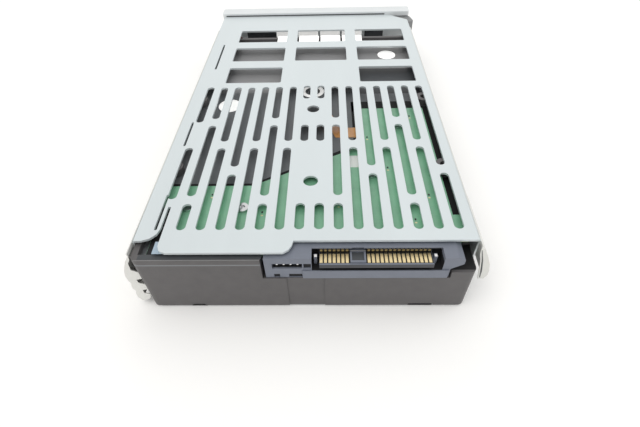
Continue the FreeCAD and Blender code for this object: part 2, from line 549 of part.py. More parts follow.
upper_yoke = sector("upper_yoke_plate", PIVOT, "upper_yoke_low", "yoke_start", "yoke_end",
                    "deck_underside-upper_yoke_low", "yoke_from", "yoke_to")
part(upper_yoke, "upper_yoke", "drive")
part(sector("lower_yoke_plate", PIVOT, "lower_yoke_low", "yoke_start", "yoke_end", "yoke_thickness",
            "yoke_from", "yoke_to"), "lower_yoke", "drive")
part(sector("upper_magnet_plate", PIVOT, "upper_yoke_low-vcm_magnet_height", "coil_start", "coil_end",
            "vcm_magnet_height", "vcm_magnet_from", "vcm_magnet_to"), "upper_magnet", "drive")
part(sector("lower_magnet_plate", PIVOT, "lower_yoke_low+yoke_thickness", "coil_start", "coil_end",
            "vcm_magnet_height", "vcm_magnet_from", "vcm_magnet_to"), "lower_magnet", "drive")
yoke_posts, stops = [], []
for angle in ("yoke_post_first", "yoke_post_last"):
    place = on_circle(PIVOT, "yoke_post_circle", angle)
    yoke_posts.append(rod("yoke_post", *place, "lower_yoke_low+yoke_thickness", "yoke_post_radius",
                          "upper_yoke_low-lower_yoke_low-yoke_thickness"))
    stops.append(ring("stop_sleeve", *place, "coil_low-0.6", "yoke_post_radius", "yoke_post_radius+0.7",
                      "coil_high-coil_low+1.2"))
part(together("yoke_post_set", yoke_posts), "yoke_posts", "drive")
part(together("stop_set", stops), "crash_stops", "drive")

# ---------------------------------------------------------------- small inner pieces
column = block("ramp_column", "ramp_circle-ramp_length/2", "ramp_offset", "ramp_low", "ramp_length",
               "ramp_width", "deck_underside-ramp_low")
fingers = [block("ramp_finger", "ramp_circle-ramp_length/2-2.3", "ramp_offset",
                 f"disk_first-{index}*disk_pitch-0.35", "3", "ramp_width", "1.87") for index in range(3)]
part(joined("ramp", column, *fingers), "load_ramp", "drive", at=AT_PIVOT, turn="park_angle")
pin_body = rod("latch_pin_body", "latch_x", "latch_y", "latch_low-0.4", "latch_pin_radius",
               "deck_underside-latch_low+0.4")
pin_head = rod("latch_pin_head", "latch_x", "latch_y", "latch_low-1.1", "latch_eye-0.4", "0.7")
part(joined("latch_pin_turned", pin_body, pin_head), "latch_pin", "drive")
latch_eye = rod("latch_ring", *HERE, "latch_low", "latch_eye", "latch_high-latch_low")
latch_bar = block("latch_bar", "0", "-latch_width/2", "latch_low", "latch_arm", "latch_width",
                  "latch_high-latch_low")
latch_bore = rod("latch_bore", *HERE, "0", "latch_pin_radius+fit_gap", "30")
part(less("latch", joined("latch_blank", latch_eye, latch_bar), latch_bore), "shipping_latch", "drive",
     at=("latch_x", "latch_y", "0"), turn="latch_angle")
header = block("header_block", "header_x", "header_y", "header_low", "header_width", "header_length",
               "board_low-header_low")
part(header, "head_connector", "drive")
flex_run = span("flex_run", ("header_x+header_width-3", "4"), ("header_y+header_length+0.5",
                "header_y+header_length+0.5+flex_thickness"), ("flex_low", "header_low+1.4"))
flex_foot = span("flex_foot", ("header_x+header_width-3", "header_x+header_width-1"),
                 ("header_y+header_length", "header_y+header_length+0.6"), ("header_low", "header_low+1.4"))
flex_bend = sector("flex_bend", ("4", "header_y+header_length+0.5+5"), "flex_low", "5-flex_thickness", "5",
                   "flex_width", "-90", "0")
flex_rise = span("flex_rise", ("9-flex_thickness", "9"), ("header_y+header_length+0.5+5", "36.2"),
                 ("flex_low", "flex_low+flex_width"))
part(joined("flex", flex_run, flex_foot, flex_bend, flex_rise), "actuator_flex", "drive")
part(together("filter_set", [
    rounded_block("filter_block", ("filter_x", "filter_x+filter_width"),
                  ("filter_near", "filter_near+filter_length"), ("5", "deck_underside"), "1")]),
     "recirculation_filter", "drive")
part(rounded_block("desiccant_pack", ("desiccant_x", "desiccant_x+desiccant_width"),
                   ("desiccant_y", "desiccant_y+desiccant_length"),
                   ("deck_underside-desiccant_height", "deck_underside"), "1.5"), "desiccant", "drive")

# ---------------------------------------------------------------- board side
board = padded("board_sheet", board_outline("0"), "board_high-board_low", level="board_low")
board_holes = [rod("board_hole", x, y, "20", "screw_radius", "10") for x, y in BOARD_SCREWS]
part(less("board", board, *board_holes), "circuit_board", "drive")
part(together("board_screw_set", [
    screw("board_screw", x, y, "board_high", "board_screw_head*0.75", "board_screw_head_height",
          "board_screw_length", up=False) for x, y in BOARD_SCREWS]), "board_screws", "drive")
CHIPS = [("22", "44", "13", "13"), ("30", "22", "8", "11"), ("2", "29", "8", "7"), ("-34", "24", "6", "5"),
         ("24", "70", "5", "4"), ("38", "70", "4", "4"), ("-40", "8", "5", "3"), ("-28", "9", "7", "5")]
part(together("chip_set", [
    block("chip", x, y, "board_low-chip_height", width, length, "chip_height")
    for x, y, width, length in CHIPS]), "board_parts", "drive")
flex_points = [("18.6", "61.2"), ("18.6", "67.6"), ("12.4", "67.6"), ("8.2", "78"), ("8.2", "85"),
               ("4.2", "85"), ("4.2", "76.5"), ("10", "61.2")]
part(padded("motor_flex_sheet", flex_points, "0.12", level="deck_height"), "motor_flex", "drive")
part(together("sticker_set", [rod("sticker", x, y, "deck_height", radius, "0.1") for x, y, radius in
                              (("-35.2", "84.8", "4.8"), ("36.6", "130.0", "4.4"))]), "stickers", "drive")

ends_top = [("housing_left", "housing_low"), ("housing_right-3.5", "housing_low"),
            ("housing_right-3.5", "20.2"), ("45", "21.7"), ("housing_right", "22.5"),
            ("housing_right", "24.3"), ("44.3", "housing_top"), ("housing_left", "housing_top")]
housing = add("PartDesign::Body", "housing_block")
housing_face = outline(housing, "housing_section", ends_top, "XZ_Plane")
housing_pad = housing.newObject("PartDesign::Pad", "housing_pad")
housing_pad.Profile = housing_face
link(housing_pad, "Length", "housing_rear-housing_face")
housing_pad.Reversed = True
housing.Tip = housing_pad
link(housing, "Placement.Base.y", "housing_face")
housing_cuts = [
    span("pocket", ("pocket_left", "pocket_right"), ("-1", "housing_upper_face"),
         ("lower_wall_top", "housing_top+1")),
    span("pocket_deep", ("pocket_left", "pocket_right"), ("0", "pocket_rear"),
         ("lower_wall_top", "housing_top-0.35")),
    span("board_step", ("housing_left-1", "housing_right+1"), ("housing_upper_rear", "20"),
         ("board_low", "housing_top+1")),
    span("header_pocket", ("header_pin_first-1.4", "header_pin_first+1.4+header_pin_pitch*3"),
         ("-1", "header_pocket"), ("header_pin_height-1.2", "header_pin_height+1")),
    span("left_latch_slot", ("-9.4", "-7.6"), ("-1", "2.5"), ("housing_low+0.15", "18.0")),
    span("right_latch_slot", ("-4.9", "-0.9"), ("-1", "2.5"), ("housing_low+0.15", "18.0")),
    span("side_notch", ("-0.4", "1.8"), ("-1", "1.2"), ("20.8", "22.9")),
    span("under_left", ("-0.6", "1.2"), ("-1", "1.4"), ("housing_low-1", "16.9")),
]
tongue = [
    span("tongue_blade", ("tongue_left", "tongue_right"), ("0", "pocket_rear+1"),
         ("tongue_low", "tongue_high")),
    span("key_block", ("key_left", "key_right"), ("0.6", "pocket_rear+1"), ("tongue_low", "key_high")),
    span("lower_lip", ("lower_wall_left", "lower_wall_right"), ("0", "2"),
    ("housing_low", "lower_wall_top")),
]
key_recess = span("key_recess", ("key_left+0.5", "key_right-0.5"), ("1.2", "4.6"), ("key_high-0.35", "30"))
part(less("housing_finished", joined("housing_joined", less("housing_cut", housing, *housing_cuts), *tongue),
          key_recess), "connector_housing", "drive")
contacts = []
for first, count in (("signal_first", "signal_count"), ("power_first", "power_count")):
    for index in range(int(number(count))):
        centre = f"{first}+{index}*contact_pitch"
        contacts.append(block("contact", f"{centre}-contact_width/2", "contact_near", "tongue_high",
                              "contact_width", "contact_length", "contact_height"))
        contacts.append(block("contact_tail", f"{centre}-contact_width/2", "pocket_rear-contact_tail",
                              "tongue_high", "contact_width", "contact_tail", "contact_height"))
part(together("contact_set", contacts), "connector_contacts", "drive")
pins = [block("header_pin", f"header_pin_first+{index}*header_pin_pitch-header_pin_width/2", "1.2",
              "header_pin_height-header_pin_width/2", "header_pin_width", "header_pocket-1.2",
              "header_pin_width") for index in range(int(number("header_pin_count")))]
part(together("header_pin_set", pins), "header_pins", "drive")

# ---------------------------------------------------------------- carrier plate
plate = add("PartDesign::Body", "plate_body")
plate_points = [
    ("-plate_half", "30"), ("plate_left_near", "strip_near"), ("strip_right-4.6", "strip_near"),
    ("strip_right-2.2", "strip_near+0.9"),
    ("strip_right-0.6", "strip_near+2.6"), ("strip_right", "strip_near+5"), ("strip_right", "strip_top"),
    ("tab_left", "strip_top"), ("tab_left", "tab_near+tab_radius"), ("tab_left+0.8", "tab_near+0.8"),
    ("tab_left+tab_radius", "tab_near"), ("tab_right-2.4", "tab_near"), ("tab_right-0.9", "tab_near+1"),
    ("tab_right", "tab_near+2.6"), ("tab_right+0.4", "plate_near"), ("plate_right", "plate_near"),
    ("plate_right", "corner_cut_y"), ("corner_cut_x", "plate_far"), ("-plate_half", "plate_far")]
plate_sketch = outline(plate, "plate_outline", plate_points, level="plate_low")
plate_pad = plate.newObject("PartDesign::Pad", "plate_pad")
plate_pad.Profile = plate_sketch
link(plate_pad, "Length", "plate_thickness")
plate.Tip = plate_pad


def pocket_row(name, loops, count=1, step="0", stack=1, rise="0"):
    """Cuts loops of points through the plate and repeats them across and along it."""
    sketch = plate.newObject("Sketcher::SketchObject", new_name(name))
    sketch.AttachmentSupport = [(origin_plane(plate, "XY_Plane"), "")]
    sketch.MapMode = "FlatFace"
    link(sketch, "AttachmentOffset.Base.z", "plate_low+plate_thickness")
    for x, low, high, width in loops:
        left, right = number(f"({x})-({width})/2"), number(f"({x})+({width})/2")
        radius = number("slot_width/2") if width == "slot_width" else number("slit_width/2")
        middle, near, far = number(x), number(low), number(high)
        first = sketch.GeometryCount
        sketch.addGeometry(Part.LineSegment(Vector(left, near + radius, 0), Vector(left, far - radius, 0)))
        sketch.addGeometry(Part.LineSegment(Vector(right, near + radius, 0), Vector(right, far - radius, 0)))
        for end_y, top in ((far - radius, True), (near + radius, False)):
            points = [Vector(left, end_y, 0), Vector(middle, end_y + (radius if top else -radius), 0),
                      Vector(right, end_y, 0)]
            sketch.addGeometry(Part.Arc(*points))
        for line in (first, first + 1):
            sketch.addConstraint(Sketcher.Constraint("Vertical", line))
        made = sketch.addConstraint(Sketcher.Constraint("DistanceX", -1, 1, first, 1, left))
        link(sketch, f"Constraints[{made}]", f"({x})-({width})/2")
        made = sketch.addConstraint(Sketcher.Constraint("DistanceX", -1, 1, first + 1, 1, right))
        link(sketch, f"Constraints[{made}]", f"({x})+({width})/2")
    cut = plate.newObject("PartDesign::Pocket", new_name(name + "_cut"))
    cut.Profile = sketch
    link(cut, "Length", "plate_thickness*2")
    plate.Tip = cut
    if count > 1:
        pattern = plate.newObject("PartDesign::LinearPattern", new_name(name + "_row"))
        pattern.Originals = [cut]
        pattern.Direction = (sketch, ["H_Axis"])
        link(pattern, "Length", f"({step})*{count - 1}")
        pattern.Occurrences = count
        plate.Tip = pattern


def column(index):
    """The place across the plate of a slot column."""
    return f"slot_origin+{index}*slot_pitch"


COLUMNS = {
    "triple": ([("10.2", "21.3"), ("24.9", "64.3"), ("69", "93.1")], [(-7, 4, "4*slot_pitch")]),
    "double": ([("10.2", "50"), ("54.1", "93.1")], [(-6, 3, "2*slot_pitch"), (2, 3, "2*slot_pitch")]),
    "uneven": ([("10.2", "35.4"), ("39.6", "92.8")], [(-5, 1, "0"), (3, 2, "4*slot_pitch")]),
    "centre": ([("10.3", "21.4"), ("54", "64.4"), ("83.4", "93.8")], [(-1, 2, "slot_pitch")]),
    "edge": ([("23.6", "50.4"), ("66.7", "93.4")], [(-8, 1, "0")]),
}
for kind, (ranges, rows) in COLUMNS.items():
    for first, count, step in rows:
        pocket_row(f"{kind}_slots", [(column(first), low, high, "slot_width") for low, high in ranges],
                   count, step)
pocket_row("edge_slits", [
    ("slot_origin-8*slot_pitch-1.5", "10.3", "25.6", "slit_width"),
    ("slot_origin-8*slot_pitch-2.4", "51.6", "66.9", "slit_width"),
    ("slot_origin-8*slot_pitch-1.4", "109.7", "135.3", "slit_width")])

windows = []
for row in range(3):
    near = f"window_near+{row}*window_row_pitch"
    for place in ((-1, 1) if row == 0 else (-1, 0, 1)):
        centre = f"window_origin+({place})*window_pitch"
        windows.append(rounded_block("window", (f"{centre}-window_width/2", f"{centre}+window_width/2"),
                                     (near, f"{near}+window_height"),
                                     ("plate_low-1", "plate_low+3"), "0.8"))
for hole_y in ("plate_hole_near", "plate_hole_far"):
    windows.append(rod("plate_hole", "plate_hole_x", hole_y, "plate_low-1", "plate_hole_radius", "4"))
edge_cuts = []
for sign, edge in ((-1, "plate_half"), (1, "plate_right")):
    wedge_points = [(f"{edge}+0.1", "plate_low+plate_thickness-plate_chamfer-0.1"),
                    (f"{edge}+0.1", "plate_low+plate_thickness+0.1"),
                    (f"{edge}-plate_chamfer-0.1", "plate_low+plate_thickness+0.1")]
    wedge = padded("edge_wedge", [(x if sign > 0 else f"-({x})", z) for x, z in wedge_points],
                   "plate_far+2", "XZ_Plane")
    wedge.Tip.Reversed = True
    edge_cuts.append(wedge)
part(less("plate", plate, *windows, *edge_cuts), "carrier_plate", "carrier")
part(span("film_sheet", ("tab_left-1.4", "-36"), ("1.9", "6.4"), ("plate_low-0.2", "plate_low")),
     "insulation_film", "carrier")

# ---------------------------------------------------------------- carrier sides
EDGE = {-1: "plate_half", 1: "plate_right"}
RAIL_SCREWS = ["side_hole_near", "side_hole_far"]


def side_span(sign, inner, outer):
    """The X limits of something that spans inner to outer on one side."""
    return (inner, outer) if sign > 0 else (f"-({outer})", f"-({inner})")


NEAR_RIGHT_LEAF = [("leaf_top", 0.02), ("24.9", 0.21), ("21.6", 0.54), ("17.6", 0.84), ("14.5", 0.97),
                   ("11.9", 1.0), ("leaf_bottom", 0.86)]
RIGHT_LEAF = [("leaf_top", 0.02), ("23.5", 0.26), ("21.4", 0.46), ("19.2", 0.68), ("17.4", 0.86),
              ("15.2", 1.0), ("13", 0.92), ("11.4", 0.6), ("leaf_bottom", 0.3)]
RIGHT_INNER = [("leaf_bottom", 0.5), ("12", 0.45), ("14", 0.38), ("17", 0.3), ("20", 0.18), ("22.4", 0.04),
               ("leaf_top", 0.0)]
LEFT_LEAF = [("leaf_top", 0.02), ("22.6", 0.42), ("20", 0.68), ("17.6", 0.88), ("15", 1.0), ("12.6", 0.97),
             ("11.4", 0.88), ("10.2", 0.97), ("8.4", 1.0), ("7", 0.88), ("5.6", 0.98), ("3.4", 1.0), ("1.7", 0.8)]
LEFT_INNER = [("1.7", 0.5), ("3", 0.1), ("5.2", -0.05), ("5.8", 0.34), ("7.6", 0.36), ("8.2", -0.12),
              ("10.8", -0.12), ("11.6", 0.34), ("13.4", 0.36), ("14", -0.12), ("17.2", -0.12), ("18.4", 0.36),
              ("21.6", 0.3), ("23.4", 0.06), ("leaf_top", 0.0)]
LEAVES = {-1: (LEFT_LEAF, LEFT_LEAF, LEFT_INNER), 1: (NEAR_RIGHT_LEAF, RIGHT_LEAF, RIGHT_INNER)}


def leaf_points(sign, shape):
    """Points of a section from heights and shares of the bulge beyond the rail."""
    edge = EDGE[sign]
    return [(f"{edge}+(leaf_bulge-{edge})*({share})", z) for z, share in shape]


def mirrored(sign, points):
    """The points on their own side of the carrier."""
    return points if sign > 0 else [(f"-({x})", z) for x, z in points]


def leaf_profile(sign, shape):
    """Section of a bowed leaf."""
    outer = leaf_points(sign, shape)
    inner = [(f"{x}-leaf_thickness", z) for x, z in reversed(outer)]
    inner[-1] = (EDGE[sign], "leaf_top")
    return mirrored(sign, outer + inner)


for sign, side in ((-1, "left"), (1, "right")):
    edge = EDGE[sign]
    wall_x = side_span(sign, f"({edge}-rail_thickness)", edge)
    wall = span(f"{side}_wall", wall_x, ("rail_near", f"rail_far_{side}"), ("rail_low", "plate_low"))
    cuts = []
    for screw_y in RAIL_SCREWS:
        start = f"{edge}-rail_thickness-1" if sign > 0 else f"-{edge}-1"
        cuts.append(rod("rail_hole", start, screw_y, "side_hole_height", "rail_screw_radius", "3", "x"))
    cuts.append(span("rail_window", side_span(sign, f"{edge}-2", f"{edge}+1"),
                     ("rail_window_near", "rail_window_far"), ("14.5", "24.6")))
    feet = [span(f"{side}_foot", wall_x, (near, f"{near}+12"), ("3", "rail_low+1")) for near in (40, 104)]
    part(less(f"{side}_rail", joined(f"{side}_rail_blank", wall, *feet), *cuts), f"side_rail_{side}",
         "carrier")
    first_leaf = f"leaf_near_{side}"
    near_shape, far_shape, inner_shape = LEAVES[sign]
    length = f"((leaf_far-{first_leaf})-(leaf_count-1)*leaf_gap)/leaf_count"
    end_cap = padded("leaf_end", mirrored(sign, leaf_points(sign, near_shape + inner_shape)),
                     "leaf_thickness", "XZ_Plane")
    end_cap.Tip.Reversed = True
    link(end_cap, "Placement.Base.y", first_leaf)
    leaves = [end_cap]
    for index in range(int(number("leaf_count"))):
        body = padded("leaf", leaf_profile(sign, far_shape if index else near_shape), length, "XZ_Plane")
        body.Tip.Reversed = True
        link(body, "Placement.Base.y", f"{first_leaf}+{index}*({length}+leaf_gap)")
        leaves.append(body)
    strip = span(f"{side}_strip", side_span(sign, edge, f"{edge}+leaf_thickness"), (first_leaf, "leaf_far"),
                 ("leaf_top-0.4", "plate_low+0.3"))
    access = rod("leaf_access", f"{edge}-1" if sign > 0 else "-leaf_bulge-1", "spare_hole_y",
                 "side_hole_height", "leaf_access_radius", f"leaf_bulge-{edge}+2", "x")
    part(less(f"{side}_spring_cut", joined(f"{side}_spring_joined", strip, *leaves), access),
         f"spring_{side}", "carrier")

rail_screws = []
for sign in (-1, 1):
    edge = EDGE[sign]
    for screw_y in RAIL_SCREWS:
        head_x = edge if sign > 0 else f"-{edge}-rail_screw_head_height"
        shaft_x = f"{edge}-rail_screw_length" if sign > 0 else f"-{edge}"
        head = rod("rail_screw_head", head_x, screw_y, "side_hole_height", "rail_screw_head",
                   "rail_screw_head_height", "x")
        shaft = rod("rail_screw_shaft", shaft_x, screw_y, "side_hole_height", "rail_screw_radius",
                    "rail_screw_length", "x")
        socket_x = f"{edge}+0.35" if sign > 0 else f"-{edge}-1.35"
        socket = rod("rail_screw_socket", socket_x, screw_y, "side_hole_height", "rail_screw_head*0.45", "1",
                     "x")
        rail_screws.append(less("rail_screw", joined("rail_screw_blank", head, shaft), socket))
part(together("rail_screw_set", rail_screws), "carrier_screws", "carrier")

# ---------------------------------------------------------------- bezel
BEZEL_Y = ("bezel_near", "bezel_far")
bezel_shell = rounded_block("bezel_block", ("-bezel_half", "bezel_half"), BEZEL_Y,
    ("0", "bezel_height"), "1.2")
bezel_cuts = [
    span("bezel_hollow", ("bezel_wall-bezel_half", "bezel_half-bezel_wall"),
         ("bezel_near+2", "bezel_far+1"), ("bezel_wall+1", "bezel_height-bezel_wall")),
    rod("hinge_bore", "hinge_x", "hinge_y", "1", "hinge_pin_radius", "bezel_height-2"),
    span("hook_gate", ("hinge_x-5.5", "bezel_half+1"), ("bezel_near-1", "bezel_far+1"),
         ("hook_low-0.5", "hook_high+0.5")),
    rod("eye_gate", "hinge_x", "hinge_y", "lever_low-0.4", "lever_eye+0.3", "lever_high-lever_low+0.8"),
    rod("button_gate", "button_left+button_width/2", "bezel_near-1", "button_low+button_height/2", "1.2",
        "4", "y"),
]
for index in range(int(number("vent_count"))):
    left = f"vent_first+{index}*vent_pitch"
    bezel_cuts.append(span("vent", (left, f"{left}+vent_width"), ("bezel_near-1", "bezel_near+3"),
                           ("vent_low", "vent_low+vent_height")))
for pipe_x in ("-49.2", "-44.2"):
    bezel_cuts.append(rod("pipe_bore", pipe_x, "bezel_near-1", "23.4", "light_pipe_radius", "4", "y"))
part(less("bezel", bezel_shell, *bezel_cuts), "bezel_frame", "carrier")
part(rod("hinge_pin", "hinge_x", "hinge_y", "1", "hinge_pin_radius", "bezel_height-2"), "lever_pin",
     "carrier")
pipes = [rod("light_pipe", pipe_x, "bezel_near-0.6", "23.4", "light_pipe_radius", "bezel_far-bezel_near+1.4",
             "y") for pipe_x in ("-49.2", "-44.2")]
part(together("light_pipe_set", pipes), "light_pipes", "carrier")
grille_sheet = span("grille_sheet", ("grille_left", "grille_right"),
    ("grille_near", "grille_near+grille_thickness"),
                    ("bezel_wall+1", "bezel_height-bezel_wall"))
grille_holes = []
for row in range(int(number("grille_rows"))):
    for place in range(int(number("grille_count"))):
        left = f"grille_left+grille_gap+{place}*grille_pitch"
        low = f"bezel_wall+2.2+{row}*grille_pitch"
        grille_holes.append(span("grille_hole", (left, f"{left}+grille_pitch-grille_gap"),
                                 ("grille_near-1", "grille_near+2"),
                                 (low, f"{low}+grille_pitch-grille_gap")))
part(less("grille", grille_sheet, *grille_holes), "bezel_grille", "carrier")

# ---------------------------------------------------------------- ejector lever (measured from its hinge)
AT_HINGE = ("hinge_x", "hinge_y", "0")
LEVER_Z = ("lever_low", "lever_high")
front = ("lever_near-hinge_y", "lever_far-hinge_y")
grip = rounded_block("lever_grip", ("lever_left-hinge_x", "lever_tail"), front, LEVER_Z, "0.8")
grip_hollows = [span("grip_window",
                (f"lever_left-hinge_x+5+{index}*9.6", f"lever_left-hinge_x+12+{index}*9.6"),
                     ("lever_near-hinge_y-1", "lever_far-hinge_y+1"), ("lever_low+4", "lever_high-4"))
                for index in range(7)]
neck = span("lever_neck", ("-2.2", "2.2"), ("0", "lever_near-hinge_y+1"), LEVER_Z)
eye = rod("lever_ring", *HERE, "lever_low", "lever_eye", "lever_high-lever_low")
hook = padded("lever_hook", [("-2", "-2.6"), ("3.4", "-8.6"), ("hook_x-hinge_x-2.6", "hook_y-hinge_y-2"),
                             ("hook_x-hinge_x", "hook_y-hinge_y"), ("hook_x-hinge_x-1.2", "-4"),
                             ("5", "2"), ("2", "3")],
              "hook_high-hook_low", level="hook_low")
lever_bore = rod("lever_bore", *HERE, "0", "hinge_pin_radius+fit_gap", "40")
lever = less("lever_blank", joined("lever_joined", grip, neck, eye, hook), lever_bore, *grip_hollows)
part(lever, "ejector_lever", "carrier", at=AT_HINGE)

# ---------------------------------------------------------------- release button and its spring
BUTTON_X = ("button_left", "button_left+button_width")
cap = rounded_block("button_cap", BUTTON_X, ("bezel_near+3.2+button_travel", "lever_far"),
                    ("button_low", "button_low+button_height"), "0.8")
stem = rod("button_stem", "button_left+button_width/2", "bezel_near+0.4", "button_low+button_height/2",
           "1.1", "3.6+button_travel", "y")
part(joined("button_joined", cap, stem), "release_button", "carrier")
coils = []
for index in range(3):
    loop = add("Part::Torus", "spring_loop")
    loop.Placement = FreeCAD.Placement(Vector(), ALONG["y"])
    move(loop, "button_left+button_width/2", f"bezel_near+2.35+{index}*0.7", "button_low+button_height/2")
    link(loop, "Radius1", "spring_radius")
    link(loop, "Radius2", "spring_wire")
    coils.append(loop)
part(together("button_spring_set", coils), "button_spring", "carrier")

# ---------------------------------------------------------------- check and export
document.recompute()
os.makedirs("parts", exist_ok=True)
for item in document.Objects:
    if "Invalid" in item.State or "Error" in item.State:
        raise RuntimeError(f"{item.Label} did not build")
for made in parts:
    shape = made.Shape
    if shape.isNull() or not shape.isValid() or not shape.Solids:
        raise RuntimeError(f"{made.Label} is not a sound solid")
    shape.exportStep(f"parts/{made.Label}.step")
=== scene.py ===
import bmesh
import bpy
import math
from mathutils import Matrix, Vector


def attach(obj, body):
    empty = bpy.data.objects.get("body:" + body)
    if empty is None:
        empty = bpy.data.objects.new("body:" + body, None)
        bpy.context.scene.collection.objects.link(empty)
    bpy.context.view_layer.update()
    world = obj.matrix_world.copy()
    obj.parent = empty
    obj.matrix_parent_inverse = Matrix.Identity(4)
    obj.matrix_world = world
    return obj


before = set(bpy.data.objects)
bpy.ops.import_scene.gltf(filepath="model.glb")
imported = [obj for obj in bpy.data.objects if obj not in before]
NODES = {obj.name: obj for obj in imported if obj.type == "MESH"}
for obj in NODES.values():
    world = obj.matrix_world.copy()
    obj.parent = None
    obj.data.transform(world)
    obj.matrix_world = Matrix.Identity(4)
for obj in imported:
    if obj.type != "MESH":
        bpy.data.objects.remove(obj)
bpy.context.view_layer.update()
MM = 0.001
DRIVE_X = -0.4
HALF_LENGTH = 92.0


def drive(x, y, z):
    """A point of the drive, in millimetres from its centre line and connector face, in the frame."""
    return Vector(((x + DRIVE_X) * MM, (y - HALF_LENGTH) * MM, z * MM))


def carrier(x, y, z):
    """A point of the carrier, in millimetres, in the frame."""
    return Vector((x * MM, (y - HALF_LENGTH) * MM, z * MM))


# ---------------------------------------------------------------- materials
def material(name, colour, rough=0.5, metal=0.0, spread=0.06, grain=900.0, bump=0.08, bump_scale=2500.0,
             stretch=(1, 1, 1), transmission=0.0, coat=0.0, rough_spread=0.08):
    """A procedural finish: colour and roughness vary with noise, and a finer noise raises the surface."""
    made = bpy.data.materials.new(name)
    made.use_nodes = True
    tree = made.node_tree
    shader = tree.nodes["Principled BSDF"]
    shader.inputs["Metallic"].default_value = metal
    shader.inputs["Transmission Weight"].default_value = transmission
    shader.inputs["Coat Weight"].default_value = coat
    place = tree.nodes.new("ShaderNodeTexCoord")
    mapping = tree.nodes.new("ShaderNodeMapping")
    mapping.inputs["Scale"].default_value = stretch
    tree.links.new(place.outputs["Object"], mapping.inputs["Vector"])
    noise = tree.nodes.new("ShaderNodeTexNoise")
    noise.inputs["Scale"].default_value = grain
    noise.inputs["Detail"].default_value = 4.0
    tree.links.new(mapping.outputs["Vector"], noise.inputs["Vector"])
    ramp = tree.nodes.new("ShaderNodeValToRGB")
    low = tuple(max(0.0, c * (1 - spread)) for c in colour)
    high = tuple(min(1.0, c * (1 + spread)) for c in colour)
    ramp.color_ramp.elements[0].color = (*low, 1)
    ramp.color_ramp.elements[1].color = (*high, 1)
    ramp.color_ramp.elements[0].position = 0.3
    ramp.color_ramp.elements[1].position = 0.7
    tree.links.new(noise.outputs["Fac"], ramp.inputs["Fac"])
    tree.links.new(ramp.outputs["Color"], shader.inputs["Base Color"])
    vary = tree.nodes.new("ShaderNodeMapRange")
    vary.inputs["To Min"].default_value = max(0.02, rough - rough_spread)
    vary.inputs["To Max"].default_value = min(1.0, rough + rough_spread)
    tree.links.new(noise.outputs["Fac"], vary.inputs["Value"])
    tree.links.new(vary.outputs["Result"], shader.inputs["Roughness"])
    fine = tree.nodes.new("ShaderNodeTexNoise")
    fine.inputs["Scale"].default_value = bump_scale
    fine.inputs["Detail"].default_value = 3.0
    tree.links.new(mapping.outputs["Vector"], fine.inputs["Vector"])
    raised = tree.nodes.new("ShaderNodeBump")
    raised.inputs["Strength"].default_value = bump
    raised.inputs["Distance"].default_value = 0.0001
    tree.links.new(fine.outputs["Fac"], raised.inputs["Height"])
    tree.links.new(raised.outputs["Normal"], shader.inputs["Normal"])
    return made


